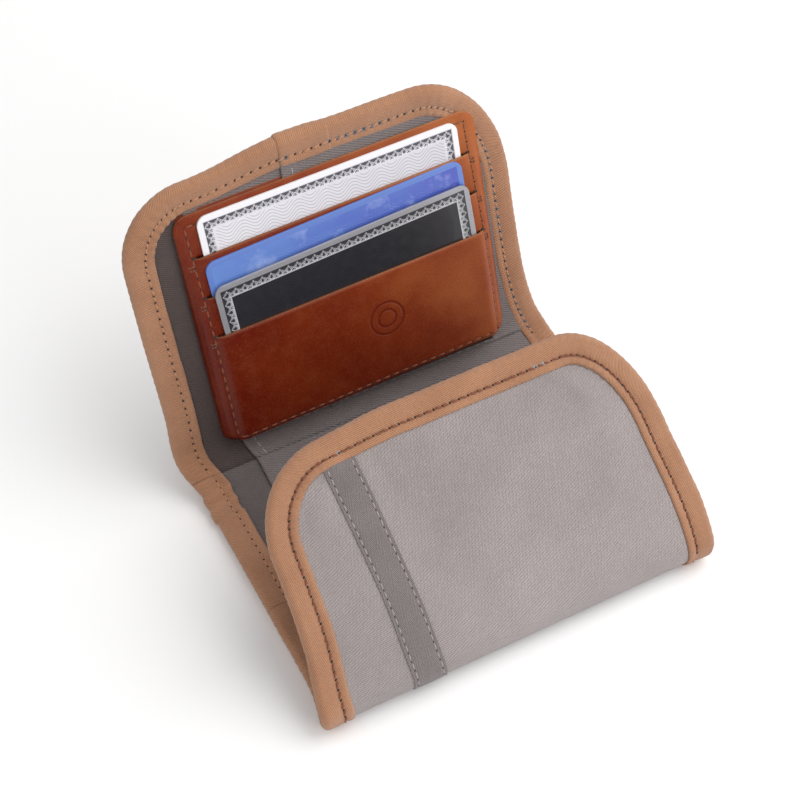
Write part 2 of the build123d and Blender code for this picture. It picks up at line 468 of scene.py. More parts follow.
def leather_material(name, dark, middle, bright, roughness, marked):
    material, tree, shader = new_material(name, roughness, specular=0.22)
    vector = flat_map(tree)
    x, y, _ = split(tree, vector)
    out_x = maths(tree, "SUBTRACT", x, 0.0085)
    out_y = maths(tree, "SUBTRACT", y, 0.0245)
    squares = [maths(tree, "POWER", out, 2.0) for out in (out_x, out_y)]
    far = maths(tree, "SQRT", maths(tree, "ADD", *squares))
    rings = []
    for radius in (0.0056, 0.0030):
        gap = maths(tree, "ABSOLUTE", maths(tree, "SUBTRACT", far, radius))
        rings.append(spread_value(tree, gap, 0.00055, 0.00025))
    pressed = maths(tree, "MULTIPLY", maths(tree, "MAXIMUM", rings[0], rings[1]), marked)
    # Painted light: the leather runs from its dark tone at the lower left to its bright tone at the upper
    # right, as the lamp falls from the upper right. The patina cloud mixed in is real tone that differs at
    # random.
    painted_light_slope = maths(tree, "ADD", maths(tree, "MULTIPLY", x, 7.0), maths(tree, "MULTIPLY", y, 4.2))
    worn = place_group(tree, patina, vector, Scale=32.0)
    drift = maths(tree, "ADD", painted_light_slope, maths(tree, "MULTIPLY", worn[0], 0.42))
    lower = blend_colours(tree, spread_value(tree, drift, 0.0, 0.5), dark, middle)
    light_slope_and_patina_colour = blend_colours(tree, spread_value(tree, drift, 0.4, 0.95), lower, bright)
    scuffed = blend_colours(tree, maths(tree, "MULTIPLY", worn[1], 0.12), light_slope_and_patina_colour, bright)
    speckle = lumps(tree, vector, 1700.0, 2.0, 0.7)
    scuffed = blend_colours(tree, spread_value(tree, speckle, 0.55, 0.8, 0.0, 0.4), scuffed, bright)
    scuffed = blend_colours(tree, spread_value(tree, speckle, 0.45, 0.2, 0.0, 0.5), scuffed, dark)
    stamped = blend_colours(tree, maths(tree, "MULTIPLY", pressed, 0.7), scuffed, dark)
    link(tree, stamped, shader.inputs["Base Color"])
    rubbed_rough = spread_value(tree, worn[1], 0.0, 1.0, roughness - 0.06, roughness + 0.12)
    link(tree, rubbed_rough, shader.inputs["Roughness"])
    cells = add(tree, "ShaderNodeTexVoronoi", feature="DISTANCE_TO_EDGE")
    link(tree, vector, cells.inputs["Vector"])
    cells.inputs["Scale"].default_value = 1300.0
    grain = maths(tree, "MINIMUM", cells.outputs[0], 0.25)
    pores = maths(tree, "ADD", grain, maths(tree, "MULTIPLY", lumps(tree, vector, 500.0, 4.0), 0.4))
    relief = maths(tree, "SUBTRACT", pores, maths(tree, "MULTIPLY", pressed, 1.6))
    raise_surface(tree, shader, relief, 0.00015, 0.6)
    return material


def thread_material(name, colour):
    material, tree, shader = new_material(name, 0.65, 0.2, specular=0.4)
    vector = add(tree, "ShaderNodeTexCoord").outputs["Object"]
    strands = lumps(tree, vector, 2600.0, 2.0)
    darker = tuple(c * 0.6 for c in colour)
    link(tree, blend_colours(tree, strands, darker, colour), shader.inputs["Base Color"])
    raise_surface(tree, shader, strands, 0.0001, 0.6)
    return material


def card_material(name, base, other, inks, wave_share, rim_metal, band_share):
    """A printed card; inks are the colours of its print, rim and scrolls."""
    print_colour, rim_colour, scroll_colour = inks
    material, tree, shader = new_material(name, 0.32, coat=0.25)
    vector = flat_map(tree)
    marks = place_group(tree, card_print, vector, Inset=0.0019)
    worn = place_group(tree, patina, vector, Scale=55.0)
    x, _, _ = split(tree, vector)
    drift = maths(tree, "ADD", spread_value(tree, x, -0.043, 0.043), maths(tree, "MULTIPLY", worn[0], 0.35))
    ground = blend_colours(tree, spread_value(tree, drift, 0.1, 1.2), base, other)
    cloud = lumps(tree, vector, 95.0, 4.0, 0.6)
    cloud_share = spread_value(tree, cloud, 0.52, 0.68, 0.0, 0.45 * (1 - band_share))
    blotched = blend_colours(tree, cloud_share, ground, scroll_colour)
    waved = blend_colours(tree, maths(tree, "MULTIPLY", marks[2], wave_share), blotched, print_colour)
    banded = blend_colours(tree, maths(tree, "MULTIPLY", marks[3], band_share), waved, print_colour)
    bordered = blend_colours(tree, maths(tree, "MULTIPLY", marks[1], band_share), banded, scroll_colour)
    rimmed = blend_colours(tree, marks[0], bordered, rim_colour)
    link(tree, rimmed, shader.inputs["Base Color"])
    link(tree, maths(tree, "MULTIPLY", marks[0], rim_metal), shader.inputs["Metallic"])
    link(tree, spread_value(tree, worn[1], 0.0, 1.0, 0.28, 0.45), shader.inputs["Roughness"])
    return material


outer_cloth = canvas_material("waxed_canvas", (0.47, 0.41, 0.405), (0.21, 0.176, 0.171), 0.00068, 0.42, 0.1)
pocket_cloth = canvas_material("pocket_canvas", (0.26, 0.225, 0.22), (0.125, 0.102, 0.1), 0.00068, 0.62, 0.08)
lining_cloth = canvas_material(
    "lining_canvas", (0.19, 0.162, 0.158), (0.085, 0.068, 0.066), 0.0006, 0.65, 0.08
)
# A darker copy of the lining canvas for the standing leaf: painted shade.
shade_painted_lining = canvas_material("lining_in_painted_shade", (0.12, 0.088, 0.082), (0.05, 0.033, 0.03), 0.0006, 0.7, 0.05)
bias_twill = twill_material("tan_bias_tape", (0.54, 0.275, 0.155), (0.27, 0.112, 0.052), 0.00066, False)
chevron_twill = twill_material("grey_chevron_tape", (0.27, 0.232, 0.228), (0.12, 0.1, 0.098), 0.0011, True)
# The dark, middle and bright tones of each leather are its shaded, half-lit and lit sides: painted light,
# spread by the slope in leather_material.
leather = leather_material(
    "cognac_leather", (0.125, 0.0075, 0.001), (0.215, 0.030, 0.005), (0.40, 0.115, 0.03), 0.44, 1.0
)
leather_edge = leather_material(
    "raw_leather_edge", (0.20, 0.06, 0.022), (0.29, 0.105, 0.045), (0.44, 0.20, 0.09), 0.8, 0.0
)
liner_fabric = canvas_material("liner_cloth", (0.11, 0.085, 0.075), (0.06, 0.045, 0.04), 0.0006, 0.8, 0.0)
tan_thread = thread_material("tan_thread", (0.58, 0.29, 0.16))
grey_thread = thread_material("pale_grey_thread", (0.46, 0.415, 0.4))
# The tape's needle holes are drawn as small near-black dots: painted shade of the holes' pits.
painted_tape_hole_shade = thread_material("tape_needle_hole_in_painted_shade", (0.05, 0.04, 0.038))
brown_thread = thread_material("brown_thread", (0.25, 0.08, 0.036))
waxed_thread = thread_material("waxed_thread", (0.26, 0.08, 0.032))
# Needle holes and the slit-end holes are drawn as small dark dots and discs: painted shade inside the holes.
painted_hole_shade = thread_material("painted_hole_shade", (0.03, 0.012, 0.006))
white_print = card_material(
    "white_card_print", (0.80, 0.79, 0.84), (0.66, 0.65, 0.70),
    ((0.06, 0.058, 0.075), (0.88, 0.87, 0.91), (0.78, 0.77, 0.82)), 0.34, 0.0, 1.0
)
blue_print = card_material(
    "blue_card_print", (0.14, 0.27, 0.66), (0.07, 0.10, 0.50),
    ((0.30, 0.45, 0.82), (0.12, 0.22, 0.60), (0.5, 0.6, 0.9)), 0.12, 0.0, 0.0
)
dark_print = card_material(
    "dark_card_print", (0.022, 0.022, 0.028), (0.014, 0.015, 0.02),
    ((0.035, 0.035, 0.042), (0.36, 0.36, 0.39), (0.55, 0.55, 0.59)), 0.30, 0.3, 1.0
)


# ---- making pieces ----
def net(across, along):
    """A net of quads whose corners run from 0 to 1 both ways."""
    mesh = bmesh.new()
    bmesh.ops.create_grid(mesh, x_segments=across, y_segments=along, size=0.5)
    bmesh.ops.translate(mesh, verts=mesh.verts, vec=(0.5, 0.5, 0.0))
    return mesh


def spread(mesh, shape, measure):
    """Keeps measure(a, b) as the piece's flat map, in metres, then moves the net's corners by shape(a, b)."""
    layer = mesh.loops.layers.uv.new("flat")
    for face in mesh.faces:
        for loop in face.loops:
            a, b = measure(loop.vert.co.x, loop.vert.co.y)
            loop[layer].uv = (a * mm, b * mm)
    for vert in mesh.verts:
        vert.co = shape(vert.co.x, vert.co.y)


def make_piece(name, mesh, materials, thickness=None, rim=0, smooth=True):
    for face in mesh.faces:
        face.smooth = smooth
    data = bpy.data.meshes.new(name)
    mesh.to_mesh(data)
    mesh.free()
    piece = bpy.data.objects.new(name, data)
    bpy.context.scene.collection.objects.link(piece)
    for material in materials:
        data.materials.append(material)
    if thickness:
        wall = piece.modifiers.new("thickness", "SOLIDIFY")
        wall.thickness = thickness * mm
        wall.offset = 0.0
        wall.material_offset_rim = rim
    return piece


def joint_span(u, reach):
    """From a seam to the point where the cloth is rigid again, along the seam's own heading."""
    y, z, heading = profile(u)
    start = Vector((0.0, y, z)) * mm
    way = Vector((0.0, math.cos(heading), math.sin(heading)))
    return start, start + way * reach * mm


parts_of_length = {
    "flap": (flap_end, nose_seam),
    "lower": (nose_seam, middle_seam),
    "upper": (middle_seam, spine_seam),
    "top": (spine_seam, top_end),
}


def bend_with(piece, part):
    """Bakes the piece's placement into its mesh; the span beside its seam is worked out but not used, so the
    piece does not bend.
    """
    if part == "flap":
        start, end = joint_span(nose_seam, -8.0)
        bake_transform(piece)
    elif part == "lower":
        end, start = joint_span(nose_seam, 8.0)
        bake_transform(piece)
    elif part == "upper":
        end, start = joint_span(spine_seam, -13.6)
        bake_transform(piece)
    else:
        start, end = joint_span(spine_seam, 11.0)
        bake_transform(piece)


def cloth_area(mesh):
    return sum(face.calc_area() for face in mesh.faces)


# ---- the cloth layers ----
def swell(x, u):
    """How far the canvas stands out between its bindings, with its soft creases."""
    drop = flap_zero - u
    rise = u - top_zero
    leaf = "flap" if drop > 0 else "top"
    end = flap_end if drop > 0 else top_end
    inside = 8.8 + min(edge_x(leaf, u, 1, 8.8) - x, x - edge_x(leaf, u, -1, 8.8), abs(end - u) - 8.8)
    width = ease((inside - 8.8) / 15) if drop > 0 or rise > 0 else 0.0
    out = 0.0
    if drop > 0:
        out = 1.4 * width * math.sin(math.pi * clamp(drop / 84)) ** 0.6
        out += 0.55 * unevenness(x, u, 19.0, 1) * width
        near_edge = ease((inside - 8.8) / 5) * ease((34 - abs(u - flap_end)) / 26)
        out += 1.2 * min(unevenness(x * 1.5, u * 0.45, 11.0, 3), 0.3) * near_edge
        left_crease = abs((x + 44) * 0.8 + (u - flap_end - 18) * 0.6)
        out += 1.3 * math.exp(-(left_crease / 2.6) ** 2) * hump(x, -36, 14) * hump(u, flap_end + 20, 12)
        right_crease = abs((x - 40) * 0.75 - (u - flap_end - 16) * 0.65)
        out += 1.2 * math.exp(-(right_crease / 3.0) ** 2) * hump(x, 34, 16) * hump(u, flap_end + 18, 12)
    elif rise > 0:
        out = 0.9 * width * math.sin(math.pi * clamp(rise / 99)) ** 0.6
        out += 0.25 * unevenness(x, u, 20.0, 2) * width
    return out


def outer_height(x, u):
    return 1.0 - swell(x, u)


def cloth_sheet(name, part, left, right, height, material, near=0.0, far=0.0, cell=1.6, thickness=0.5):
    """A flat-cut sheet between two edges; left and right are functions of u."""
    start, end = parts_of_length[part]
    low = start + near
    high = end - far
    along = max(4, round((high - low) / cell))
    across = max(4, round(126 / cell))
    mesh = net(across, along)

    def flat(a, b):
        u = low + (high - low) * b
        x = left(u) + (right(u) - left(u)) * a
        return x, u

    def shape(a, b):
        x, u = flat(a, b)
        return settle(x, u, height(x, u))

    spread(mesh, shape, flat)
    area = cloth_area(mesh)
    piece = make_piece(name, mesh, [material], thickness)
    bend_with(piece, part)
    wide = max(right(low + (high - low) * i / 20) - left(low + (high - low) * i / 20) for i in range(21))
    return piece


def side_at(part, side, inset):
    if part in leaves:
        return lambda u: edge_x(part, u, side, inset)
    return lambda u: side * (half_width - inset)


def trims(part, inset):
    near = inset if part == "flap" else 0.0
    far = inset if part == "top" else 0.0
    return near, far


node_prefixes = {
    "flap": ("flap",),
    "lower": ("lower_spine",),
    "upper": ("middle", "upper_spine"),
    "top": ("top",),
}


def lining_height(x, u):
    return 3.15 + 0.12 * unevenness(x, u, 16.0, 4)


for part in parts_of_length:
    near, far = trims(part, 3.2)
    left, right = side_at(part, -1, 3.2), side_at(part, 1, 3.2)
    canvas = cloth_sheet(
        f"{part}_canvas", part, left, right, outer_height, outer_cloth, near, far
    )
    # The standing leaf's lining takes the darker copy of the lining canvas: painted shade.
    fabric = shade_painted_lining if part == "top" else lining_cloth
    lining = cloth_sheet(
        f"{part}_inner_lining", part, left, right, lining_height, fabric, near, far, 2.0, 0.4
    )
    for prefix in node_prefixes[part]:
        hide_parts(f"{prefix}_outer_canvas")
        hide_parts(f"{prefix}_lining")


# ---- the grey tape down the outside ----
def tape_middle(u):
    drop = clamp((flap_zero - u) / 66)
    return -30.2 - 5.2 * drop


def tape_height(x, u):
    pulled = 0.14 * hump(abs(x - tape_middle(u)), 3.9, 0.8)
    return outer_height(x, u) - 0.44 + pulled + 0.05 * math.cos(2 * math.pi * u / stitch_pitch)


for part in parts_of_length:
    near, far = trims(part, 8.4)
    tape = cloth_sheet(
        f"{part}_grey_tape",
        part,
        lambda u: tape_middle(u) - 5.02,
        lambda u: tape_middle(u) + 5.02,
        tape_height,
        chevron_twill,
        near,
        far,
        0.9,
        0.4,
    )
    for prefix in node_prefixes[part]:
        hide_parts(f"{prefix}_tape")


# ---- the pockets, with a turned hem along each mouth ----
def hemmed(mouth, level):
    def height(x, u):
        from_mouth = x - mouth(u)
        turned = 0.28 * (1 - ease((from_mouth - 4.2) / 0.9))
        pull = 0.16 * hump(from_mouth, 3.5, 0.5)
        return level + turned - pull + 0.12 * unevenness(x, u, 18.0, 6)
    return height


pocket_mouths = (
    ("rear_pocket_cloth", "top", lambda u: -41.2 - 0.01 * (u - top_zero), 3.55, 7.0, 6.0, "rear_pocket"),
    ("front_pocket_cloth", "top", lambda u: -13.0 + 0.03 * (u - top_zero), 3.95, 7.0, 6.0, "front_pocket"),
    ("spine_pocket_cloth", "top", lambda u: -42.0, 3.62, 0.0, 92.5, None),
    ("middle_pocket_cloth", "upper", lambda u: -42.0, 3.62, 0.0, 0.0, "middle_pocket"),
    ("front_part_pocket_cloth", "lower", lambda u: -42.0, 3.62, 8.0, 0.0, None),
)
for name, part, mouth, level, near, far, node in pocket_mouths:
    right = side_at(part, 1, 4.0)
    level_at = hemmed(mouth, level)
    pocket = cloth_sheet(
        name, part, mouth, right, level_at, pocket_cloth, near, far, 1.1, 0.4
    )
    if node:
        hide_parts(node)


# ---- the tan binding, folded round every edge ----
def fold_round(t, along, pucker):
    """The binding's section: distance in from the edge, and height, from the outer band to the inner band."""
    roll = 1.95 + 0.16 * unevenness(along, 3.0, 8.0, 8) + 0.06 * math.cos(2 * math.pi * along / stitch_pitch)
    tuck = 0.75 + 0.25 * math.cos(2 * math.pi * along / stitch_pitch)
    if t < 0.35:
        d = band - 7.0 * t / 0.35
        rest = 0.30 + 0.42 * ease((d - 8.5) / 0.8)
        n = rest + 0.62 * tuck * hump(d, stitch_in, 1.3 if d < stitch_in else 0.95)
        n -= pucker * clamp(d / band) * 0.6 * (1 - hump(d, stitch_in, 1.2))
    elif t < 0.65:
        turn = math.pi * (t - 0.35) / 0.3
        d = 2.3 - roll * math.sin(turn)
        n = 2.2 - roll * math.cos(turn)
    else:
        d = 2.3 + 7.0 * (t - 0.65) / 0.35
        rest = 4.14 - 0.35 * ease((d - 8.4) / 0.9) + 0.1 * hump(d, 4.0, 1.6)
        n = rest - 0.4 * tuck * hump(d, stitch_in, 1.2 if d < stitch_in else 0.9)
        n += pucker * clamp(d / band) * (1 - hump(d, stitch_in, 1.2))
    d += 0.16 * unevenness(along, t * 20, 5.0, 9) * clamp(d / band)
    return d, n


def end_binding(leaf, node):
    points, ways, length = outline(leaf, 0.75)
    steps = len(points) - 1
    mesh = net(steps, 38)
    start, end, left, right = leaves[leaf]

    def shape(a, b):
        i = round(a * steps)
        x, u = points[i]
        way_x, way_u = ways[i]
        corner = clamp(abs(way_x * way_u) * 2.2)
        pucker = corner * 0.26 * (1 + math.sin(2 * math.pi * a * length / 4.1))
        d, n = fold_round(b, a * length, pucker)
        lower = swell(x + way_x * 9, u + way_u * 9) * ease((d - 5) / 5) if b < 0.35 else 0.0
        return settle(x + way_x * d, u + way_u * d, n - lower)

    spread(mesh, shape, lambda a, b: (b * 21.0, a * length))
    area = cloth_area(mesh)
    piece = make_piece(f"{leaf}_edge_binding", mesh, [bias_twill], 0.5)
    bend_with(piece, leaf)
    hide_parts(node)
    return points, ways, length


def side_binding(part, side):
    start, end = parts_of_length[part]
    steps = round((end - start) / 0.75)
    mesh = net(steps, 38)

    def shape(a, b):
        u = start + (end - start) * a
        bend = hump(u, 84, 8) + hump(u, -3, 6)
        pucker = bend * 0.3 * (1 + math.sin(2 * math.pi * u / 4.6))
        d, n = fold_round(b, u, pucker)
        pinch = 0.7 * hump(u, 86, 2.2) + 0.5 * hump(u, 80.5, 1.8)
        return settle(side * (half_width - d - pinch), u, n)

    spread(mesh, shape, lambda a, b: (b * 21.0, (end - start) * a))
    area = cloth_area(mesh)
    name = f"{part}_binding_{'left' if side < 0 else 'right'}_side"
    piece = make_piece(name, mesh, [bias_twill], 0.5)
    bend_with(piece, part)
    for prefix in node_prefixes[part]:
        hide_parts(f"{prefix}_binding_{'left' if side < 0 else 'right'}")


rounds = {
    "top": end_binding("top", "top_binding"),
    "flap": end_binding("flap", "flap_binding"),
}
for part in ("lower", "upper"):
    for side in (-1, 1):
        side_binding(part, side)


# ---- the lapped end of the binding on the standing leaf's free edge ----
lap_start = -10.0
lap_length = 16.5
inner_share = 0.42  # the lap is pressed flatter inside, where the upper card slides over it


def lap_lift(x, u):
    """How much thicker the binding is where its end laps over."""
    share = (x - lap_start) / lap_length
    if share < 0 or share > 1 or u < top_end - 12:
        return 0.0
    return 0.62 * (1 - 0.85 * ease((share - 0.6) / 0.4))


def lapped_end():
    points, ways, length = rounds["top"]
    first = min(range(len(points)), key=lambda i: abs(points[i][0] - lap_start) + abs(points[i][1] - top_end))
    steps = 22
    mesh = net(steps, 38)

    def shape(a, b):
        i = first + round(a * steps)
        x, u = points[i]
        way_x, way_u = ways[i]
        d, n = fold_round(b, i * 0.75, 0.0)
        out = lap_lift(x, u)
        turn = math.pi * clamp((b - 0.35) / 0.3)
        d -= out * math.sin(turn)
        n -= out * math.cos(turn) * (1.0 if b < 0.5 else inner_share)
        return settle(x + way_x * d, u + way_u * d, n)

    spread(mesh, shape, lambda a, b: (b * 21.0, a * steps * 0.75))
    area = cloth_area(mesh)
    piece = make_piece("lapped_binding_end", mesh, [bias_twill], 0.45)
    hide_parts("binding_overlap")
    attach(piece, "top_leaf")


lapped_end()


# ---- stitches ----
def thread_run(name, marks, length, width, material):
    """Short stitches at marks, each a function that puts a point along it and beside it into its place."""
    mesh = bmesh.new()
    for put in marks:
        before = set(mesh.verts)
        bmesh.ops.create_uvsphere(mesh, u_segments=6, v_segments=5, radius=1.0)
        for vert in set(mesh.verts) - before:
            along, aside, up = vert.co.z * length / 2, vert.co.x * width / 2, vert.co.y * width / 2
            vert.co = put(along, aside, up)
    bmesh.ops.recalc_face_normals(mesh, faces=mesh.faces)
    return make_piece(name, mesh, [material])


def round_marks(leaf, d_in, n, shift):
    points, ways, length = rounds[leaf]
    step = length / (len(points) - 1)
    marks = []
    for k in range(int(length / stitch_pitch) - 1):
        i = round((k + shift) * stitch_pitch / step)
        x, u = points[i]
        wx, wu = ways[i]

        lift = lap_lift(x, u) * (-1.0 if n < 2.2 else inner_share)

        def put(along, aside, up, x=x, u=u, wx=wx, wu=wu, lift=lift):
            inward = d_in + aside + 0.22 * along
            return settle(x + wx * inward + wu * along, u + wu * inward - wx * along, n + up + lift)

        marks.append(put)
    return marks


def line_marks(x_at, n_at, low, high):
    marks = []
    count = int((high - low) / stitch_pitch)
    for k in range(count):
        u = low + (k + 0.5) * stitch_pitch

        def put(along, aside, up, u=u):
            x = x_at(u + along) + aside
            return settle(x, u + along, n_at(x, u + along) + up)

        marks.append(put)
    return marks


def sew(part, name, marks, length, width, material):
    """A row of stitches or needle holes, with its placement baked into its mesh."""
    bend_with(thread_run(name, marks, length, width, material), part)


faces = (("outer", 0.38, 0.60, 0.85, brown_thread), ("inner", 4.12, 3.98, 0.65, tan_thread))
for face, height, hole_height, width, thread in faces:
    for leaf in ("top", "flap"):
        row = f"{leaf}_binding_{face}"
        marks = round_marks(leaf, stitch_in, height, 0.5)
        sew(leaf, f"{row}_stitches", marks, 2.1, width, thread)
        marks = round_marks(leaf, stitch_in, hole_height, 1.0)
        sew(leaf, f"{row}_needle_holes", marks, 0.8, 0.8, painted_hole_shade)
    for part in ("lower", "upper"):
        start, end = parts_of_length[part]
        marks = []
        holes = []
        for x in (stitch_in - half_width, half_width - stitch_in):
            marks += line_marks(lambda u, x=x: x, lambda x, u: height, start, end)
            holes += line_marks(lambda u, x=x: x, lambda x, u: hole_height, start + 1.6, end)
        row = f"{part}_binding_{face}"
        sew(part, f"{row}_stitches", marks, 2.1, width, thread)
        sew(part, f"{row}_needle_holes", holes, 0.8, 0.8, painted_hole_shade)

for part, (start, end) in parts_of_length.items():
    near, far = trims(part, 9.4)
    marks = []
    holes = []
    low = start + near
    high = end - far
    for offset in (-3.9, 3.9):
        def x_at(u, o=offset):
            return tape_middle(u) + o

        marks += line_marks(x_at, lambda x, u: tape_height(x, u) - 0.22, low, high)
        holes += line_marks(x_at, lambda x, u: tape_height(x, u) - 0.06, low + 1.4, high)
    sew(part, f"{part}_tape_stitches", marks, 1.9, 0.42, grey_thread)
    sew(part, f"{part}_tape_needle_holes", holes, 0.7, 0.6, painted_tape_hole_shade)

for name, part, mouth, level, near, far, node in pocket_mouths:
    start, end = parts_of_length[part]
    height = hemmed(mouth, level)
    low = start + near
    high = end - max(far, 9.4)
    marks = line_marks(lambda u, m=mouth: m(u) + 3.5, lambda x, u, h=height: h(x, u) + 0.24, low, high)
    if marks:
        sew(part, f"{name}_hem_stitches", marks, 2.3, 0.42, grey_thread)


def fold_seam():
    marks = []
    seam_u = 98.6
    for k in range(28):
        x = -37.5 + k * 3.3

        def put(along, aside, up, x=x):
            return settle(x + along, seam_u + aside, 4.0 + up)

        marks.append(put)
    row = thread_run("fold_seam_stitches", marks, 2.3, 0.45, grey_thread)
    bend_with(row, "top")


fold_seam()


# ---- the leather card holder ----
holder_x = -1.0
holder_foot = 1.3
holder_plane = 3.2
holder_width = 99.0
holder_height = 80.4
holder_turn = math.radians(0.9)
slit_heights = (66.3, 53.3, 40.4)
levels = (1.2, 2.96, 4.72, 6.48)
lean = math.radians(72)
pivot = Vector((0.0, 51.271, 11.6))
up_leaf = Vector((0.0, math.cos(lean), math.sin(lean)))
off_leaf = Vector((0.0, -math.sin(lean), math.cos(lean)))


def on_holder(x, y, h):
    """A point x across, y up and h out from the holder's back, on the standing leaf."""
    dx, dy = x, y - holder_height / 2
    x = dx * math.cos(holder_turn) - dy * math.sin(holder_turn) * 0.35
    y = holder_height / 2 + dy + dx * math.sin(holder_turn)
    n = holder_plane + h - 4.4
    return (pivot + Vector((holder_x + x, 0, 0)) + up_leaf * (holder_foot + y) + off_leaf * n) * mm


def corner_draw(x, y, radius):
    """Pulls a square sheet's corner in to a rounded one."""
    half, tall = holder_width / 2, holder_height / 2
    px, py = abs(x) - (half - radius), abs(y - tall) - (tall - radius)
    if px <= 0 or py <= 0:
        return x, y
    far = math.hypot(px, py)
    reach = max(px, py)
    k = reach / far
    return math.copysign(half - radius + px * k, x), tall + math.copysign(tall - radius + py * k, y - tall)


rim_steps = ((0.0, 5.0), (40.4, 5.0), (53.3, 3.7), (66.3, 2.0), (75.0, 1.2), (90.0, 1.2))


def rim_level(y):
    """The leather beside the card channel rises towards the foot, over the stack of cards."""
    for (low, first), (high, second) in zip(rim_steps, rim_steps[1:]):
        if y <= high:
            return first + (second - first) * clamp((y - low) / (high - low))
    return rim_steps[-1][1]


def holder_level(x, y, band_index):
    inside = ease((46.4 - abs(x)) / 2.8)
    rim = rim_level(y)
    h = rim + (levels[band_index] - rim) * inside
    side_fall = ease((holder_width / 2 - abs(x) + 0.2) / 2.9)
    foot_fall = ease((y + 0.2) / 3.1)
    h = 0.95 + (h - 0.95) * side_fall * foot_fall
    edge = min(holder_width / 2 - abs(x), y, holder_height - y)
    dimple = 0.22 * hump(edge, 3.5, 0.5)
    wave = 0.12 * unevenness(x, y, 21.0, 12) * inside
    return h - dimple + wave


def leather_front():
    across, along = 132, 120
    mesh = net(across, along)
    layer = mesh.loops.layers.uv.new("flat")
    rows = {}
    for vert in mesh.verts:
        vert.co = (holder_width * (vert.co.x - 0.5), holder_height * vert.co.y, 0.0)
        rows.setdefault(round(vert.co.y, 3), []).append(vert)
    heights = sorted(rows)
    for slit in slit_heights:
        nearest = min(heights, key=lambda h: abs(h - slit))
        for vert in rows[nearest]:
            vert.co.y = slit
    cut = []
    for edge in mesh.edges:
        a, b = edge.verts[0].co, edge.verts[1].co
        for slit in slit_heights:
            if a.y == b.y and abs(a.y - slit) < 1e-3 and max(abs(a.x), abs(b.x)) < 45.8:
                cut.append(edge)
    bmesh.ops.split_edges(mesh, edges=cut)
    for face in mesh.faces:
        for loop in face.loops:
            loop[layer].uv = (loop.vert.co.x * mm, loop.vert.co.y * mm)
    moved = []
    for vert in mesh.verts:
        centre = sum(face.calc_center_median().y for face in vert.link_faces) / len(vert.link_faces)
        band_index = sum(1 for slit in slit_heights if centre < slit)
        x, y = vert.co.x, vert.co.y
        h = holder_level(x, y, band_index)
        on_slit = any(abs(y - slit) < 1e-3 for slit in slit_heights)
        if on_slit and len(vert.link_faces) == 4:
            above = sum(1 for slit in slit_heights if y + 0.1 < slit)
            below = sum(1 for slit in slit_heights if y - 0.1 < slit)
            h = (holder_level(x, y, above) + holder_level(x, y, below)) / 2
        x, y = corner_draw(x, y, 5.0)
        moved.append((vert, on_holder(x, y, h)))
    for vert, place_now in moved:
        vert.co = place_now
    area = cloth_area(mesh)
    piece = make_piece("holder_leather_front", mesh, [leather, leather_edge], 1.0, 1)
    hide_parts("holder_front")
    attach(piece, "top_leaf")


def leather_back():
    mesh = net(60, 50)

    def flat(a, b):
        return (holder_width - 1.0) * (a - 0.5), holder_height * b

    def shape(a, b):
        x, y = corner_draw(*flat(a, b), 5.0)
        return on_holder(x, y + 0.55 * ease((y - 60) / 20), 0.35)

    spread(mesh, shape, flat)
    area = cloth_area(mesh)
    piece = make_piece("holder_leather_back", mesh, [leather, leather_edge], 0.7, 1)
    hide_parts("holder_back")
    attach(piece, "top_leaf")


leather_front()
leather_back()


def holder_marks(shift, lift):
    marks = []

    def mark(x, y, along_x):
        def put(along, aside, up):
            dx, dy = (along, aside) if along_x else (aside, along)
            band_index = sum(1 for slit in slit_heights if y < slit)
            return on_holder(x + dx, y + dy, holder_level(x + dx, y + dy, band_index) + lift + up)
        marks.append(put)

    inset = 3.5
    half = holder_width / 2 - inset
    for k in range(28):
        x = -half + 1.6 + (k + shift) * (2 * half - 3.2) / 27
        mark(x, holder_height - inset, True)
        mark(x, inset, True)
    for k in range(22):
        y = inset + 1.8 + (k + shift) * (holder_height - 2 * inset - 3.6) / 21
        mark(-half, y, False)
        mark(half, y, False)
    for side in (-1, 1):
        for slit in slit_heights:
            mark(side * 46.9, slit - 2.0, True)
            mark(side * 46.9, slit - 3.1, True)
    return marks


stitches = thread_run("holder_stitches", holder_marks(0.0, 0.52), 2.2, 0.6, waxed_thread)
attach(stitches, "top_leaf")
# Dark dots between the stitches: painted shade of the needle holes.
needle_holes = thread_run(
    "holder_needle_holes", holder_marks(0.5, 0.46), 0.7, 0.7, painted_hole_shade
)
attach(needle_holes, "top_leaf")


def slit_holes():
    marks = []
    for slit in slit_heights:
        for side in (-1, 1):
            x = side * 45.6

            def put(along, aside, up, x=x, slit=slit):
                band_index = sum(1 for other in slit_heights if slit < other)
                height = (holder_level(x, slit, band_index) + holder_level(x, slit, band_index + 1)) / 2
                return on_holder(x + aside, slit + along, height + 0.42 + up * 0.15)

            marks.append(put)
    # The holes at the slit ends are dark discs on the leather: painted shade inside the punched holes.
    holes = thread_run("slit_end_holes", marks, 1.7, 1.7, painted_hole_shade)
    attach(holes, "top_leaf")


slit_holes()

for name in ("upper", "middle", "lower"):
    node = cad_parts[f"{name}_slot_liner"]
    node.data.materials.clear()
    node.data.materials.append(liner_fabric)


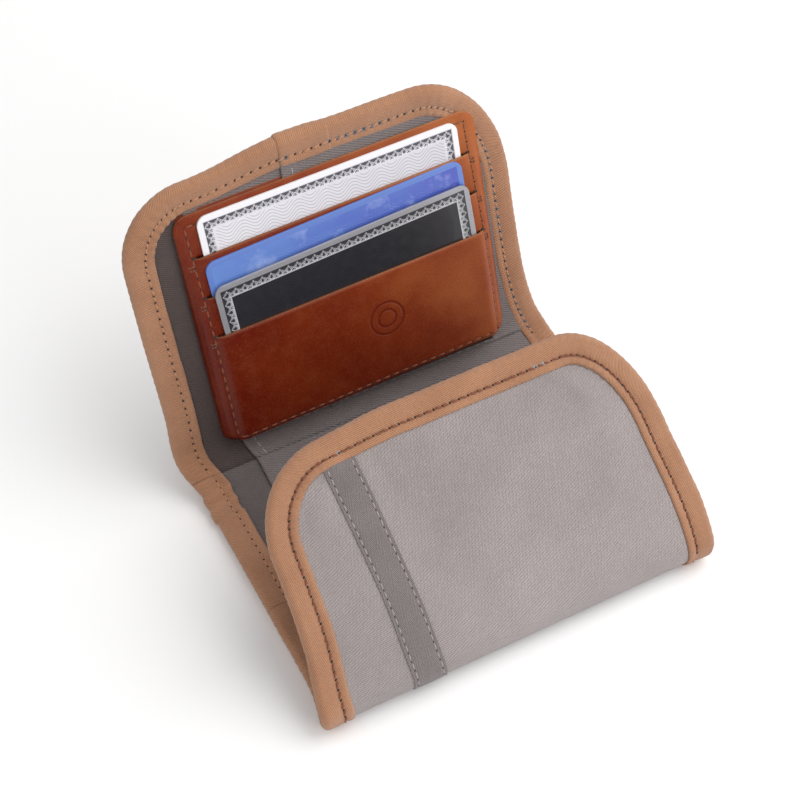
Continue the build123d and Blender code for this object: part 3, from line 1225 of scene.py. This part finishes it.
# ---- the three cards ----
def card(name, top, shift, turn, low, material):
    wide, tall, thick, corner = 85.6, 53.98, 0.76, 3.18
    mesh = bmesh.new()
    bmesh.ops.create_grid(mesh, x_segments=1, y_segments=1, size=0.5)
    bmesh.ops.scale(mesh, verts=mesh.verts, vec=(wide, tall, 1.0))
    bmesh.ops.bevel(
        mesh, geom=mesh.verts[:], offset=corner, segments=8, profile=0.5, affect="VERTICES", material=-1
    )
    raised = bmesh.ops.extrude_face_region(mesh, geom=mesh.faces[:])
    top_verts = [item for item in raised["geom"] if isinstance(item, bmesh.types.BMVert)]
    bmesh.ops.translate(mesh, verts=top_verts, vec=(0.0, 0.0, thick))
    bmesh.ops.recalc_face_normals(mesh, faces=mesh.faces)
    rims = [edge for edge in mesh.edges if len({round(v.co.z, 4) for v in edge.verts}) == 1]
    bmesh.ops.bevel(mesh, geom=rims, offset=0.1, segments=2, profile=0.5, affect="EDGES", material=-1)
    layer = mesh.loops.layers.uv.new("flat")
    for face in mesh.faces:
        for loop in face.loops:
            loop[layer].uv = (loop.vert.co.x * mm, loop.vert.co.y * mm)
    middle_y = top - tall / 2
    for vert in mesh.verts:
        x = vert.co.x * math.cos(turn) - vert.co.y * math.sin(turn)
        y = vert.co.x * math.sin(turn) + vert.co.y * math.cos(turn)
        vert.co = on_holder(x + shift, y + middle_y, low + vert.co.z)
    piece = make_piece(f"{name}_printed", mesh, [material], smooth=False)
    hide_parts(name)
    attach(piece, f"{name}_body")


card("upper_card", 78.5, 0.3, math.radians(-0.3), 1.70, white_print)
card("middle_card", 65.4, -0.1, math.radians(1.3), 3.46, blue_print)
card("lower_card", 57.6, 0.5, math.radians(1.5), 5.22, dark_print)


# ---- floor, light and camera ----
def studio():
    floor_mesh = bmesh.new()
    bmesh.ops.create_grid(floor_mesh, x_segments=1, y_segments=1, size=4.0)
    bmesh.ops.translate(floor_mesh, verts=floor_mesh.verts, vec=(0.0, 0.0, -0.0003))
    data = bpy.data.meshes.new("floor")
    floor_mesh.to_mesh(data)
    floor_mesh.free()
    floor = bpy.data.objects.new("floor", data)
    bpy.context.scene.collection.objects.link(floor)
    material, tree, shader = new_material("pale_floor", 0.9, specular=0.1)
    shader.inputs["Base Color"].default_value = (0.95, 0.95, 0.953, 1.0)
    data.materials.append(material)
    world = bpy.data.worlds.new("studio")
    world.use_nodes = True
    world.node_tree.nodes["Background"].inputs["Color"].default_value = (1.0, 1.0, 1.0, 1.0)
    world.node_tree.nodes["Background"].inputs["Strength"].default_value = 0.68
    bpy.context.scene.world = world
    lights = (
        ("key_light", (0.62, -0.12, 0.95), 1.0, 8.0, (1.0, 0.99, 0.975)),
        ("fill_light", (0.30, -0.95, 0.60), 0.6, 2.6, (1.0, 0.995, 0.99)),
    )
    for name, spot, size, power, colour in lights:
        lamp = bpy.data.lights.new(name, "AREA")
        lamp.shape = "SQUARE"
        lamp.size = size
        lamp.energy = power
        lamp.color = colour
        holder = bpy.data.objects.new(name, lamp)
        holder.location = spot
        aim = Vector((0.0, 0.02, 0.03)) - Vector(spot)
        holder.rotation_euler = aim.to_track_quat("-Z", "Y").to_euler()
        bpy.context.scene.collection.objects.link(holder)
    lens = bpy.data.cameras.new("camera")
    lens.lens = 85.32
    lens.sensor_width = 36.0
    camera = bpy.data.objects.new("camera", lens)
    camera.location = (-0.16732, -0.28858, 0.48270)
    aim = Vector((0.01004, 0.05, 0.0)) - Vector(camera.location)
    camera.rotation_euler = aim.to_track_quat("-Z", "Y").to_euler()
    bpy.context.scene.collection.objects.link(camera)
    bpy.context.scene.camera = camera
    bpy.context.scene.view_settings.view_transform = "Standard"


studio()
